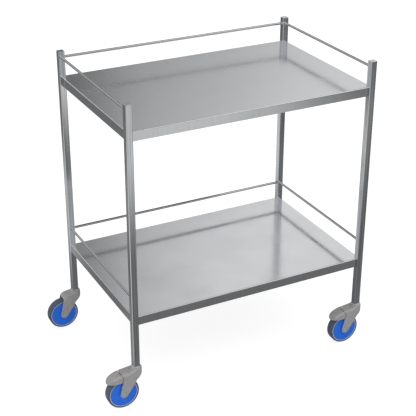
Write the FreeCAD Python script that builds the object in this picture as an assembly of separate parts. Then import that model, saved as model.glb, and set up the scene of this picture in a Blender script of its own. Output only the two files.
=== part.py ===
import FreeCAD, Part
import math
import os

# Instrument trolley: a welded stainless frame with two lipped shelves and six guard rails,
# on four swivel castors. Millimetres, +Z up, front towards -Y. The origin is on the floor
# under the middle of the trolley's outline, with every castor trailing towards -X.

# Frame
TROLLEY_WIDTH = 800.0
TROLLEY_DEPTH = 520.0
UPPER_SHELF_HEIGHT = 872.0
LOWER_SHELF_HEIGHT = 295.0
POST_ABOVE_SHELF = 79.5
POST_SIZE = 20.0
POST_WALL = 1.5
POST_CORNER = 2.0
CAP_HEAD = 2.5
CAP_EDGE = 1.0
CAP_SPIGOT = 12.0
RAIL_DIAMETER = 8.0
RAIL_WALL = 1.2
RAIL_ABOVE_SHELF = 60.0

# Shelves: folded sheet with a lip all round and a return flange along the lip's lower edge
SHELF_SHEET = 1.2
SHELF_INSET = 7.0
SHELF_LIP = 28.5
SHELF_BEND = 2.5
SHELF_FLANGE = 12.0
STIFFENER_CROWN = 40.0
STIFFENER_DEPTH = 18.0
STIFFENER_FOOT = 14.0
STIFFENER_END_GAP = 6.0

# Castor: overall, with the crown's height over the tyre and the axle behind the swivel's axis
CROWN_RISE = 27.0
TRAIL = 46.5
SWIVEL_GAP = 0.6
SEAT_GAP = 0.3
RUNNING_FIT = 0.05

# Castor: wheel
WHEEL_DIAMETER = 100.0
TYRE_WIDTH = 29.0
TYRE_THICKNESS = 9.0
TYRE_SIDE_THICKNESS = 5.4
TYRE_SHOULDER_WIDTH = 5.0
TYRE_SHOULDER_DROP = 3.2
TYRE_LIP = 2.1
RIM_FLANGE = 3.4
RIM_WALL = 3.5
RIM_EDGE = 2.0
WEB_THICKNESS = 6.0
HUB_WALL = 4.0
BEARING_SHOULDER = 3.0
DISC_THICKNESS = 1.6
DISC_DOME = 1.4
DISC_BORE_GAP = 2.5
DISC_STEP_DEPTH = 2.0

# Castor: bearings, axle and kingpin
BEARING_RADIUS = 11.0
BEARING_BORE = 4.0
BEARING_WIDTH = 7.0
BEARING_EDGE = 0.5
BEARING_INSET = 4.0
BEARING_DEPTH = 5.0
SPACER_WALL = 2.5
AXLE_HEAD_RADIUS = 6.2
AXLE_HEAD = 1.2
AXLE_HEAD_SIDE_GAP = 1.0
AXLE_HEAD_SUNK = 0.8
SOCKET_SIZE = 4.0
SOCKET_DEPTH = 0.8
STUD_RADIUS = 5.0
STUD_LENGTH = 32.0
COLLAR_GAP = 0.5
KINGPIN_HEAD_RADIUS = 6.0
KINGPIN_HEAD = 3.0
HEAD_POCKET_GAP = 1.2

# Castor: insert in the post's foot
INSERT_FLANGE = 1.5
INSERT_OVERHANG = 4.0
INSERT_LENGTH = 36.0
INSERT_RIB = 0.8
INSERT_RIB_COUNT = 5

# Castor: moulded fork. A RISE is a height over the tyre's top, a DROP a depth under the crown's
# top, AHEAD and BEHIND are distances from the axle towards the swivel's axis and away from it.
LEG_THICKNESS = 4.0
LEG_GAP = 2.0
LEG_EDGE = 1.8
BOSS_WALL = 5.1
LEG_BACK_AHEAD = 2.7
LEG_BACK_RISE = 15.0
LEG_FRONT_AHEAD = 42.5
LEG_FRONT_DROP = 38.0
CROWN_WALL = 6.5
CROWN_EDGE = 4.0
CROWN_BLEND = 0.5
CROWN_CHIN = 3.5
CROWN_CHIN_DROP = 22.0
CROWN_CHIN_BULGE = 0.7
CROWN_SIDE_DROP = 14.0
HOOD_DROP = 3.5
HOOD_SLOPE_DEG = 6.0
HOOD_EDGE = 8.0
HOOD_WALL = 3.0
HOOD_BEND_AHEAD = 18.5
HOOD_TIP_BEHIND = 1.0
HOOD_TIP_RISE = 9.5
WELL_CLEARANCE = 3.5

# Brake of the front castors
PIVOT_AHEAD = 8.0
PIVOT_RISE = 6.0
PEDAL_SHORT = 0.5
PEDAL_SKIRT_DROP = 7.0
PEDAL_SEAM_BEHIND = 6.0
PEDAL_GAP = 1.8
PEDAL_WALL = 2.4
PEDAL_RIB_SINK = 1.0
PEDAL_TRAVEL_DEG = 8.0
PEDAL_TIP_TAPER = 5.0
PEDAL_PLAN_MARGIN = 0.8
PEDAL_PIN_RADIUS = 2.0
PEDAL_HUB_WALL = 2.2
PEDAL_ARM_GAP = 1.5
PEDAL_ARM_THICKNESS = 3.5
PEDAL_ARM_ROOT = 19.0
PEDAL_ARM_CLEARANCE = 1.2
PEDAL_ARM_LOW = 3.2
CAVITY_AHEAD = 10.5
CAM_ARM = 13.0
CAM_RADIUS = 2.3
SHOE_GAP_LOCKED = 0.6
SHOE_THICKNESS = 3.0
SHOE_FRONT = 3.5
SHOE_BACK = 11.5
SHOE_WIDTH = 18.0
GUIDE_STEM_RADIUS = 1.6
GUIDE_STEM_AHEAD = 1.5
GUIDE_STEM_LENGTH = 8.0
GUIDE_WALL = 1.6

# Worked out from the sizes above: frame
CASTOR_HEIGHT = WHEEL_DIAMETER + CROWN_RISE
POST_FOOT = CASTOR_HEIGHT + INSERT_FLANGE
POST_TOP = UPPER_SHELF_HEIGHT + POST_ABOVE_SHELF - CAP_HEAD
POST_X = (TROLLEY_WIDTH - POST_SIZE) / 2
POST_Y = (TROLLEY_DEPTH - POST_SIZE) / 2

# Worked out: wheel and bearings
WHEEL_RADIUS = WHEEL_DIAMETER / 2
RIM_WIDTH = TYRE_WIDTH - 2 * TYRE_LIP
RIM_SEAT_WIDTH = RIM_WIDTH - 2 * RIM_FLANGE
TREAD_WIDTH = TYRE_WIDTH - 2 * TYRE_SHOULDER_WIDTH
RIM_RADIUS = WHEEL_RADIUS - TYRE_SIDE_THICKNESS
RIM_SEAT_RADIUS = WHEEL_RADIUS - TYRE_THICKNESS
RIM_BORE_RADIUS = RIM_SEAT_RADIUS - RIM_WALL
DISC_RADIUS = RIM_RADIUS - RIM_EDGE
HUB_RADIUS = BEARING_RADIUS + HUB_WALL
HUB_BORE = BEARING_RADIUS - BEARING_SHOULDER
SPACER_RADIUS = BEARING_BORE + SPACER_WALL
DISC_BORE = SPACER_RADIUS + DISC_BORE_GAP
COLLAR_RADIUS = BEARING_RADIUS - COLLAR_GAP

# Worked out: fork
LEG_INSIDE = TYRE_WIDTH / 2 + LEG_GAP
HALF_FORK = LEG_INSIDE + LEG_THICKNESS
BOSS_POCKET_RADIUS = AXLE_HEAD_RADIUS + AXLE_HEAD_SIDE_GAP
BOSS_POCKET = AXLE_HEAD + AXLE_HEAD_SUNK
BOSS_RADIUS = BOSS_POCKET_RADIUS + BOSS_WALL
LEG_BACK_X = LEG_BACK_AHEAD - TRAIL
LEG_BACK_Z = WHEEL_DIAMETER + LEG_BACK_RISE
LEG_FRONT_X = LEG_FRONT_AHEAD - TRAIL
LEG_FRONT_Z = CASTOR_HEIGHT - LEG_FRONT_DROP
CROWN_RADIUS = BEARING_RADIUS + CROWN_WALL
CROWN_CHIN_X = CROWN_RADIUS - CROWN_CHIN
CROWN_CHIN_Z = CASTOR_HEIGHT - CROWN_CHIN_DROP
CROWN_SIDE_Z = CASTOR_HEIGHT - CROWN_SIDE_DROP
CROWN_TOP = CASTOR_HEIGHT - SWIVEL_GAP
HOOD_HEIGHT_AT_AXIS = CASTOR_HEIGHT - HOOD_DROP
HOOD_SLOPE = math.radians(HOOD_SLOPE_DEG)
HOOD_BEND_X = HOOD_BEND_AHEAD - TRAIL
HOOD_TIP_X = -HOOD_TIP_BEHIND - TRAIL
HOOD_TIP_Z = WHEEL_DIAMETER + HOOD_TIP_RISE
WELL_RADIUS = WHEEL_RADIUS + WELL_CLEARANCE

# Worked out: brake
PIVOT_X = PIVOT_AHEAD - TRAIL
PIVOT_Z = WHEEL_DIAMETER + PIVOT_RISE
PEDAL_REACH = TRAIL + WHEEL_RADIUS - PEDAL_SHORT
PEDAL_SKIRT_Z = WHEEL_DIAMETER - PEDAL_SKIRT_DROP
PEDAL_SEAM_X = -PEDAL_SEAM_BEHIND - TRAIL
PEDAL_TRAVEL = math.radians(PEDAL_TRAVEL_DEG)
PEDAL_HUB_RADIUS = PEDAL_PIN_RADIUS + PEDAL_HUB_WALL
PEDAL_ARM_INSIDE = SHOE_WIDTH / 2 + PEDAL_ARM_GAP
CAVITY_FRONT_X = PIVOT_X + CAVITY_AHEAD
SHOE_TRAVEL = CAM_ARM * PEDAL_TRAVEL
GUIDE_STEM_X = GUIDE_STEM_AHEAD - TRAIL

# The frame is set back so that the origin is under the middle of the whole outline
FRAME_SHIFT = (max(TRAIL + WHEEL_RADIUS, PEDAL_REACH) - CROWN_RADIUS) / 2
FAR = 4 * CASTOR_HEIGHT
TINY = 1e-3

SIDES_X = {"left": -1, "right": 1}
SIDES_Y = {"front": -1, "back": 1}
UP = FreeCAD.Vector(0, 0, 1)
ALONG_Y = FreeCAD.Vector(0, 1, 0)


def vec(x, y, z):
    """A vector in millimetres."""
    return FreeCAD.Vector(x, y, z)


def save(name, *solids):
    """Writes one node from its solids."""
    shape = solids[0] if len(solids) == 1 else Part.makeCompound(list(solids))
    if not shape.isValid() or any(s.Volume <= 0 for s in shape.Solids):
        raise ValueError("bad shape: " + name)
    shape.exportStep("parts/" + name + ".step")


def moved(shape, x=0.0, y=0.0, z=0.0):
    """A copy of the shape, moved."""
    copy = shape.copy()
    copy.translate(vec(x, y, z))
    return copy


def block(x0, x1, y0, y1, z0, z1):
    """A box between two corners."""
    return Part.makeBox(x1 - x0, y1 - y0, z1 - z0, vec(x0, y0, z0))


def rod(radius, start, end):
    """A cylinder between two points."""
    run = end - start
    return Part.makeCylinder(radius, run.Length, start, run)


def tube(radius, wall, start, end):
    """A round tube between two points."""
    return rod(radius, start, end).cut(rod(radius - wall, start, end))


def edges_along(shape, axis):
    """The straight edges that run along an axis."""
    found = []
    for edge in shape.Edges:
        run = edge.Vertexes[-1].Point - edge.Vertexes[0].Point
        if run.Length > 0 and abs(abs(run.normalize().dot(axis)) - 1) < TINY:
            found.append(edge)
    return found


def square_block(size, z0, z1):
    """An upright square bar on the Z axis."""
    half = size / 2
    return block(-half, half, -half, half, z0, z1)


def square_bar(size, corner, z0, z1):
    """The same with rounded corners."""
    bar = square_block(size, z0, z1)
    return bar.makeFillet(corner, edges_along(bar, UP))


def turned(points, centre, axis_y=False):
    """A solid turned from an outline of (radius, height) points, about Z or about Y."""
    corners = [vec(r, h, 0) if axis_y else vec(r, 0, h) for r, h in points]
    face = Part.Face(Part.makePolygon(corners + corners[:1]))
    solid = face.revolve(vec(0, 0, 0), ALONG_Y if axis_y else UP, 360)
    return moved(solid, centre.x, centre.y, centre.z)


def side_point(x, z):
    """A point of a side outline, in the plane Y = 0."""
    return vec(x, 0, z)


def side_prism(edges, y0, y1):
    """A side outline, given as edges in order, made solid between two planes across Y."""
    face = Part.Face(Part.Wire(edges))
    prism = face.extrude(vec(0, y1 - y0, 0))
    return moved(prism, y=y0)


def side_polygon(points, y0, y1):
    """A side outline of (x, z) points, made solid between two planes across Y."""
    corners = [side_point(x, z) for x, z in points]
    face = Part.Face(Part.makePolygon(corners + corners[:1]))
    return moved(face.extrude(vec(0, y1 - y0, 0)), y=y0)


def line(start, end):
    """A straight edge."""
    return Part.LineSegment(start, end).toShape()


def arc(start, middle, end):
    """A round edge through three points."""
    return Part.Arc(start, middle, end).toShape()


def tangent_point(centre, radius, target, side):
    """Where the line from a target touches a circle in the X-Z plane; side picks which one."""
    away = target - centre
    angle = math.atan2(away.z, away.x) + side * math.acos(radius / away.Length)
    return centre + vec(radius * math.cos(angle), 0, radius * math.sin(angle))


def arc_point(centre, radius, lean):
    """The point of a circle in the X-Z plane that lies at an angle from its top, towards -X."""
    return centre + vec(-radius * math.sin(lean), 0, radius * math.cos(lean))


def lean_arc(centre, radius, start, end):
    """The arc of such a circle between two of those angles."""
    points = [arc_point(centre, radius, lean) for lean in (start, (start + end) / 2, end)]
    return arc(*points)


def falling_circle(start, slope, through):
    """Centre and radius of the circle that leaves a sloping line at start and passes a point."""
    chord = through - start
    half_turn = math.atan2(-chord.z, -chord.x) - slope
    radius = chord.Length / (2 * math.sin(half_turn))
    return arc_point(start, -radius, slope), radius


def press(point, angle):
    """A point after the pedal has turned about its pivot, tip down."""
    dx = point.x - PIVOT_X
    dz = point.z - PIVOT_Z
    c = math.cos(angle)
    s = math.sin(angle)
    return side_point(PIVOT_X + dx * c - dz * s, PIVOT_Z + dx * s + dz * c)


# Frame pieces

def post():
    """A square tube post on the Z axis."""
    outside = square_bar(POST_SIZE, POST_CORNER, POST_FOOT, POST_TOP)
    return outside.cut(square_block(POST_SIZE - 2 * POST_WALL, POST_FOOT, POST_TOP))


def post_cap():
    """A flush end cap with an eased top edge and a hollow spigot in the tube."""
    head = square_bar(POST_SIZE, POST_CORNER, POST_TOP, POST_TOP + CAP_HEAD)
    rim = [e for e in head.Edges if min(v.Z for v in e.Vertexes) > POST_TOP + CAP_HEAD / 2]
    head = head.makeFillet(CAP_EDGE, rim)
    spigot_size = POST_SIZE - 2 * POST_WALL - 2 * RUNNING_FIT
    spigot = square_block(spigot_size, POST_TOP - CAP_SPIGOT, POST_TOP)
    hollow = square_block(spigot_size - 2 * POST_WALL, POST_TOP - CAP_SPIGOT, POST_TOP)
    return head.fuse(spigot.cut(hollow)).removeSplitter()


def folded_tray(length, depth, top, height, bend):
    """A box with its upper edges rounded by the bend."""
    tray = block(-length / 2, length / 2, -depth / 2, depth / 2, top - height, top)
    upper = [e for e in tray.Edges if min(v.Z for v in e.Vertexes) > top - height / 2]
    return tray.makeFillet(bend, upper)


def shelf(top):
    """A shelf with folded lips and return flanges, notched round the four posts."""
    length = TROLLEY_WIDTH - 2 * SHELF_INSET
    depth = TROLLEY_DEPTH - 2 * SHELF_INSET
    sheet = folded_tray(length, depth, top, SHELF_LIP, SHELF_BEND)
    hollow = folded_tray(length - 2 * SHELF_SHEET, depth - 2 * SHELF_SHEET, top - SHELF_SHEET,
                         SHELF_LIP - 2 * SHELF_SHEET, SHELF_BEND - SHELF_SHEET)
    rim = SHELF_SHEET + SHELF_FLANGE
    mouth = block(rim - length / 2, length / 2 - rim, rim - depth / 2, depth / 2 - rim,
                  top - SHELF_LIP, top - SHELF_LIP + SHELF_SHEET)
    sheet = sheet.cut(hollow.fuse(mouth))
    notch = square_bar(POST_SIZE, POST_CORNER, top - SHELF_LIP, top)
    for x in SIDES_X.values():
        for y in SIDES_Y.values():
            sheet = sheet.cut(moved(notch, x * POST_X, y * POST_Y))
    return sheet


def stiffener(top):
    """A hat-section rib along the underside of a shelf."""
    t = SHELF_SHEET
    ceiling = top - SHELF_SHEET
    length = TROLLEY_WIDTH - 2 * (SHELF_INSET + SHELF_SHEET + STIFFENER_END_GAP)
    inner = STIFFENER_CROWN / 2
    foot = inner + STIFFENER_FOOT
    low = ceiling - STIFFENER_DEPTH
    half = [(foot, ceiling), (foot, ceiling - t), (inner, ceiling - t), (inner, low)]
    back = [(inner - t, low + t), (inner - t, ceiling)]
    outline = half + [(-y, z) for y, z in reversed(half)]
    outline += [(-y, z) for y, z in reversed(back)] + back
    corners = [vec(-length / 2, y, z) for y, z in outline]
    face = Part.Face(Part.makePolygon(corners + corners[:1]))
    return face.extrude(vec(length, 0, 0))


def rail(top, side):
    """A guard rail between two posts' faces: back, left or right."""
    z = top + RAIL_ABOVE_SHELF
    if side == "back":
        reach = POST_X - POST_SIZE / 2
        return tube(RAIL_DIAMETER / 2, RAIL_WALL, vec(-reach, POST_Y, z), vec(reach, POST_Y, z))
    x = SIDES_X[side] * POST_X
    reach = POST_Y - POST_SIZE / 2
    return tube(RAIL_DIAMETER / 2, RAIL_WALL, vec(x, -reach, z), vec(x, reach, z))


# Castor pieces, each about the swivel axis with the floor at Z = 0 and the wheel towards -X

def wheel_turned(points):
    """A piece turned about the wheel's axle."""
    return turned(points, vec(-TRAIL, 0, WHEEL_RADIUS), axis_y=True)


def mirrored_outline(half):
    """A closed outline from the (radius, height) points of its +Y half, innermost first."""
    return half + [(r, -h) for r, h in reversed(half)]


def castor_insert():
    """The plug in the post's foot: a round flange, a ribbed core and a bore for the stud."""
    bore = POST_SIZE - 2 * POST_WALL
    flange = rod(POST_SIZE / 2 + INSERT_OVERHANG, vec(0, 0, CASTOR_HEIGHT), vec(0, 0, POST_FOOT))
    core = square_block(bore - 2 * INSERT_RIB, POST_FOOT, POST_FOOT + INSERT_LENGTH)
    plug = flange.fuse(core)
    pitch = INSERT_LENGTH / INSERT_RIB_COUNT
    rib_size = bore - 2 * RUNNING_FIT
    for i in range(INSERT_RIB_COUNT):
        z = POST_FOOT + (i + 0.5) * pitch
        plug = plug.fuse(square_block(rib_size, z - pitch / 4, z + pitch / 4))
    stud_hole = rod(STUD_RADIUS + RUNNING_FIT, vec(0, 0, CASTOR_HEIGHT), vec(0, 0, FAR))
    return plug.cut(stud_hole).removeSplitter()


def bearing_seat():
    """Height of the swivel bearing's lower face."""
    return CROWN_TOP - BEARING_DEPTH - BEARING_WIDTH


def kingpin():
    """The stud, collar, journal and riveted head, in one turned piece."""
    seat = bearing_seat()
    bearing_top = seat + BEARING_WIDTH
    head_top = seat - SEAT_GAP
    return turned([
        (0, head_top - KINGPIN_HEAD), (KINGPIN_HEAD_RADIUS, head_top - KINGPIN_HEAD),
        (KINGPIN_HEAD_RADIUS, head_top), (BEARING_BORE, head_top),
        (BEARING_BORE, bearing_top + SEAT_GAP), (COLLAR_RADIUS, bearing_top + SEAT_GAP),
        (COLLAR_RADIUS, CASTOR_HEIGHT), (STUD_RADIUS, CASTOR_HEIGHT),
        (STUD_RADIUS, CASTOR_HEIGHT + STUD_LENGTH - BEARING_EDGE),
        (STUD_RADIUS - BEARING_EDGE, CASTOR_HEIGHT + STUD_LENGTH), (0, CASTOR_HEIGHT + STUD_LENGTH),
    ], vec(0, 0, 0))


def bearing_ring(low):
    """Outline of a sealed bearing that starts at a height, with eased outer edges."""
    high = low + BEARING_WIDTH
    inside = BEARING_BORE + RUNNING_FIT
    return [(inside, low), (BEARING_RADIUS - BEARING_EDGE, low), (BEARING_RADIUS, low + BEARING_EDGE),
            (BEARING_RADIUS, high - BEARING_EDGE), (BEARING_RADIUS - BEARING_EDGE, high), (inside, high)]


def swivel_bearing():
    """The sealed bearing in the crown."""
    return turned(bearing_ring(bearing_seat()), vec(0, 0, 0))


def wheel_bearings():
    """The two sealed bearings in the hub."""
    near = wheel_turned([(r, -h) for r, h in bearing_ring(BEARING_INSET)])
    return wheel_turned(bearing_ring(BEARING_INSET)), near


def axle():
    """The bolt with a round head, its nut and the two spacers beside the hub."""
    face = HALF_FORK - BOSS_POCKET
    shank = [(0, -face - AXLE_HEAD), (AXLE_HEAD_RADIUS, -face - AXLE_HEAD), (AXLE_HEAD_RADIUS, -face),
             (BEARING_BORE, -face), (BEARING_BORE, face), (0, face)]
    nut = [(0, face), (AXLE_HEAD_RADIUS, face), (AXLE_HEAD_RADIUS, face + AXLE_HEAD),
           (0, face + AXLE_HEAD)]
    start = BEARING_INSET + BEARING_WIDTH + SEAT_GAP
    spacer = [(BEARING_BORE + RUNNING_FIT, start), (SPACER_RADIUS, start), (SPACER_RADIUS, LEG_INSIDE),
              (BEARING_BORE + RUNNING_FIT, LEG_INSIDE)]
    pieces = [wheel_turned(shank), wheel_turned(nut)]
    for i, side in enumerate((-1, 1)):
        outside = side * (face + AXLE_HEAD)
        socket = hexagon_hole(outside, -side * SOCKET_DEPTH)
        pieces[i] = pieces[i].cut(socket)
        pieces.append(wheel_turned([(r, side * h) for r, h in spacer]))
    return pieces


def hexagon_hole(y, depth):
    """A hexagonal key socket on the axle's line, from a face at Y into the metal."""
    corners = []
    for i in range(6):
        angle = i * math.pi / 3
        corners.append(vec(SOCKET_SIZE / 2 * math.cos(angle) - TRAIL, y,
                           SOCKET_SIZE / 2 * math.sin(angle) + WHEEL_RADIUS))
    face = Part.Face(Part.makePolygon(corners + corners[:1]))
    return face.extrude(vec(0, depth, 0))


def wheel_centre():
    """Hub, web and rim of the wheel, with a step each side that takes the disc."""
    half_rim = RIM_WIDTH / 2
    step = half_rim - DISC_STEP_DEPTH
    hub_end = BEARING_INSET + BEARING_WIDTH
    half = [(HUB_BORE, 0), (HUB_BORE, BEARING_INSET), (BEARING_RADIUS, BEARING_INSET),
            (BEARING_RADIUS, hub_end), (HUB_RADIUS, hub_end), (HUB_RADIUS, WEB_THICKNESS / 2),
            (RIM_BORE_RADIUS, WEB_THICKNESS / 2), (RIM_BORE_RADIUS, step),
            (DISC_RADIUS + RUNNING_FIT, step), (DISC_RADIUS + RUNNING_FIT, half_rim),
            (RIM_RADIUS, half_rim), (RIM_RADIUS, RIM_SEAT_WIDTH / 2),
            (RIM_SEAT_RADIUS, RIM_SEAT_WIDTH / 2)]
    return wheel_turned(mirrored_outline(half))


def wheel_discs():
    """The two slightly domed discs that cover the wheel centre."""
    edge = RIM_WIDTH / 2 - DISC_STEP_DEPTH
    middle = (DISC_BORE + DISC_RADIUS) / 2
    rise = [(DISC_BORE, DISC_DOME), (middle, DISC_DOME * 3 / 4), (DISC_RADIUS, 0)]
    outline = [(r, edge + h + DISC_THICKNESS) for r, h in rise]
    outline += [(r, edge + h) for r, h in reversed(rise)]
    return wheel_turned(outline), wheel_turned([(r, -h) for r, h in outline])


def tyre():
    """The tyre: a flat tread with round shoulders, keyed on the rim's seat."""
    shoulder = WHEEL_RADIUS - TYRE_SHOULDER_DROP
    half_tread = TREAD_WIDTH / 2
    half_width = TYRE_WIDTH / 2
    run = half_width - half_tread
    bend = (TYRE_SHOULDER_DROP ** 2 + run ** 2) / (2 * TYRE_SHOULDER_DROP)
    half_turn = math.atan2(TYRE_SHOULDER_DROP, run)
    middle = (WHEEL_RADIUS - bend * (1 - math.cos(half_turn)), half_tread + bend * math.sin(half_turn))
    seat = [(RIM_SEAT_RADIUS, RIM_SEAT_WIDTH / 2), (RIM_RADIUS, RIM_SEAT_WIDTH / 2),
            (RIM_RADIUS, RIM_WIDTH / 2), (shoulder, half_width)]
    edges = []
    for side in (1, -1):
        points = [vec(r, side * h, 0) for r, h in seat]
        edges += [line(points[i], points[i + 1]) for i in range(len(points) - 1)]
        tread_end = vec(WHEEL_RADIUS, side * half_tread, 0)
        edges.append(arc(points[-1], vec(middle[0], side * middle[1], 0), tread_end))
    for radius, half in ((WHEEL_RADIUS, half_tread), (RIM_SEAT_RADIUS, RIM_SEAT_WIDTH / 2)):
        edges.append(line(vec(radius, half, 0), vec(radius, -half, 0)))
    wire = Part.Wire(Part.__sortEdges__(edges))
    solid = Part.Face(wire).revolve(vec(0, 0, 0), ALONG_Y, 360)
    return moved(solid, -TRAIL, 0, WHEEL_RADIUS)


# Fork

def hood_height(x):
    """Height of the hood's sloping top over a place on the X axis."""
    return HOOD_HEIGHT_AT_AXIS + x * math.tan(HOOD_SLOPE)


def leg_back_point(z):
    """The point at a height on the straight back edge of the legs."""
    top = side_point(LEG_BACK_X, LEG_BACK_Z)
    foot = tangent_point(side_point(-TRAIL, WHEEL_RADIUS), BOSS_RADIUS, top, 1)
    return foot + (top - foot) * ((z - foot.z) / (top.z - foot.z))


def fork_outline(braked):
    """Side outline of the fork, open above the hood and the crown."""
    boss = side_point(-TRAIL, WHEEL_RADIUS)
    back_top = side_point(LEG_BACK_X, LEG_BACK_Z)
    front_top = side_point(LEG_FRONT_X, LEG_FRONT_Z)
    back_foot = tangent_point(boss, BOSS_RADIUS, back_top, 1)
    front_foot = tangent_point(boss, BOSS_RADIUS, front_top, -1)
    boss_low = boss + vec(0, 0, -BOSS_RADIUS)
    chin = side_point(CROWN_CHIN_X, CROWN_CHIN_Z)
    crown_side = side_point(CROWN_RADIUS, CROWN_SIDE_Z)
    chin_mid = (chin + crown_side) / 2 + side_point(CROWN_CHIN_BULGE, -CROWN_CHIN_BULGE)
    crown_corner = side_point(CROWN_RADIUS, CASTOR_HEIGHT)
    if braked:
        joint = leg_back_point(PIVOT_Z)
        back = side_point(PEDAL_SEAM_X, hood_height(PEDAL_SEAM_X))
    else:
        joint = leg_back_point(HOOD_TIP_Z - HOOD_WALL)
        back = side_point(HOOD_TIP_X, HOOD_TIP_Z)
    lean = (back - joint).normalize()
    back_corner = joint + lean * ((CASTOR_HEIGHT - joint.z) / lean.z)
    return [line(back_corner, joint), line(joint, back_foot), arc(back_foot, boss_low, front_foot),
            line(front_foot, front_top), line(front_top, chin), arc(chin, chin_mid, crown_side),
            line(crown_side, crown_corner), line(crown_corner, back_corner)]


def round_top(prism, half, low):
    """Rounds the upper side edges of a prism across Y, above a height."""
    def upper(edge):
        middle = edge.valueAt((edge.FirstParameter + edge.LastParameter) / 2)
        return abs(abs(middle.y) - half) < TINY and middle.z > low
    chosen = [e for e in prism.Edges if upper(e) and e.BoundBox.XLength > TINY]
    return prism.makeFillet(HOOD_EDGE - HALF_FORK + half, chosen)


def hood_shell(inset, braked):
    """The hood as a solid with rounded upper edges, smaller all round by an inset."""
    half = HALF_FORK - inset
    front = side_point(0, hood_height(0) - inset)
    if braked:
        back = side_point(-FAR / 2, hood_height(-FAR / 2) - inset)
        edges = [line(front, back)]
    else:
        bend = side_point(HOOD_BEND_X, hood_height(HOOD_BEND_X))
        centre, radius = falling_circle(bend, HOOD_SLOPE, side_point(HOOD_TIP_X, HOOD_TIP_Z))
        leave = arc_point(centre, radius - inset, HOOD_SLOPE)
        back = arc_point(centre, radius - inset, math.pi / 2)
        front.z = leave.z + (front.x - leave.x) * math.tan(HOOD_SLOPE)
        edges = [line(front, leave), lean_arc(centre, radius - inset, HOOD_SLOPE, math.pi / 2)]
    low_back = side_point(back.x, 0)
    low_front = side_point(front.x, 0)
    edges += [line(back, low_back), line(low_back, low_front), line(low_front, front)]
    return round_top(side_prism(edges, -half, half), half, WHEEL_RADIUS + TINY)


def hood_plan():
    """Plan of the hood: it widens from inside the crown's outline to the legs."""
    narrow = CROWN_RADIUS - CROWN_BLEND
    spread = 2 * (HALF_FORK - narrow) / TRAIL
    side = [(x, narrow - x * spread) for x in (CROWN_RADIUS, -TRAIL)]
    side.append((-FAR, side[-1][1]))
    corners = [vec(x, y, 0) for x, y in side] + [vec(x, -y, 0) for x, y in reversed(side)]
    face = Part.Face(Part.makePolygon(corners + corners[:1]))
    return face.extrude(vec(0, 0, CASTOR_HEIGHT))


def fork(braked):
    """The moulded fork with its crown, hood, legs and bosses."""
    sides = side_prism(fork_outline(braked), -HALF_FORK, HALF_FORK)
    leg_edges = []
    for edge in sides.Edges:
        middle = edge.valueAt((edge.FirstParameter + edge.LastParameter) / 2)
        if abs(abs(middle.y) - HALF_FORK) < TINY and middle.z < LEG_FRONT_Z:
            leg_edges.append(edge)
    sides = sides.makeFillet(LEG_EDGE, leg_edges)
    crown = rod(CROWN_RADIUS, vec(0, 0, LEG_FRONT_Z), vec(0, 0, CROWN_TOP))
    rim = [e for e in crown.Edges if e.BoundBox.ZMin > CROWN_TOP - TINY]
    crown = crown.makeFillet(CROWN_EDGE, rim)
    hood = hood_shell(0, braked)
    if not braked:
        hood = hood.fuse(block(-FAR, 0, -HALF_FORK, HALF_FORK, 0, LEG_FRONT_Z))
    body = hood.common(hood_plan()).fuse(crown).common(sides)
    centre = vec(-TRAIL, 0, WHEEL_RADIUS)
    side = vec(0, LEG_INSIDE, 0)
    well = rod(WELL_RADIUS, centre - side, centre + side)
    cavity = hood_shell(HOOD_WALL, braked).common(
        block(-FAR, CAVITY_FRONT_X, -LEG_INSIDE, LEG_INSIDE, WHEEL_RADIUS, CASTOR_HEIGHT))
    seat = bearing_seat()
    bearing_bore = rod(BEARING_RADIUS, vec(0, 0, seat), vec(0, 0, CASTOR_HEIGHT))
    head_bore = rod(KINGPIN_HEAD_RADIUS + HEAD_POCKET_GAP, vec(0, 0, WHEEL_RADIUS), vec(0, 0, seat))
    body = body.cut(well).cut(cavity).cut(bearing_bore).cut(head_bore)
    outside = vec(0, HALF_FORK, 0)
    pocket = vec(0, HALF_FORK - BOSS_POCKET, 0)
    body = body.cut(rod(BEARING_BORE + RUNNING_FIT, centre - outside, centre + outside))
    for sign in (-1, 1):
        body = body.cut(rod(BOSS_POCKET_RADIUS, centre + pocket * sign, centre + outside * sign))
    if braked:
        body = body.fuse(guide_boss()).cut(guide_bore())
        pivot = side_point(PIVOT_X, PIVOT_Z)
        blind = vec(0, HALF_FORK - LEG_THICKNESS / 2, 0)
        body = body.cut(rod(PEDAL_PIN_RADIUS + RUNNING_FIT, pivot - blind, pivot + outside))
    return body


def shoe_top():
    """Height of the brake shoe's upper face at rest."""
    return WHEEL_DIAMETER + SHOE_TRAVEL + SHOE_GAP_LOCKED + SHOE_THICKNESS


def guide_boss():
    """The boss under the hood that guides the brake shoe's stem."""
    return rod(GUIDE_STEM_RADIUS + GUIDE_WALL, vec(GUIDE_STEM_X, 0, shoe_top() + SEAT_GAP),
               vec(GUIDE_STEM_X, 0, hood_height(GUIDE_STEM_X) - HOOD_WALL / 2))


def guide_bore():
    """The hole in that boss."""
    start = vec(GUIDE_STEM_X, 0, shoe_top())
    return rod(GUIDE_STEM_RADIUS + RUNNING_FIT, start, start + vec(0, 0, GUIDE_STEM_LENGTH + SEAT_GAP))


# Brake

def brake_shoe():
    """The shoe over the tyre, hollowed to the tyre's curve, with its guide stem."""
    top = shoe_top()
    half = SHOE_WIDTH / 2
    plate = block(-TRAIL - SHOE_BACK, -TRAIL + SHOE_FRONT, -half, half, WHEEL_RADIUS, top)
    lifted = vec(-TRAIL, 0, WHEEL_RADIUS + SHOE_TRAVEL)
    side = vec(0, half, 0)
    plate = plate.cut(rod(WHEEL_RADIUS + SHOE_GAP_LOCKED, lifted - side, lifted + side))
    plate = max(plate.Solids, key=lambda s: s.CenterOfMass.z)
    foot = vec(GUIDE_STEM_X, 0, top)
    return plate.fuse(rod(GUIDE_STEM_RADIUS, foot, foot + vec(0, 0, GUIDE_STEM_LENGTH))).removeSplitter()


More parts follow.
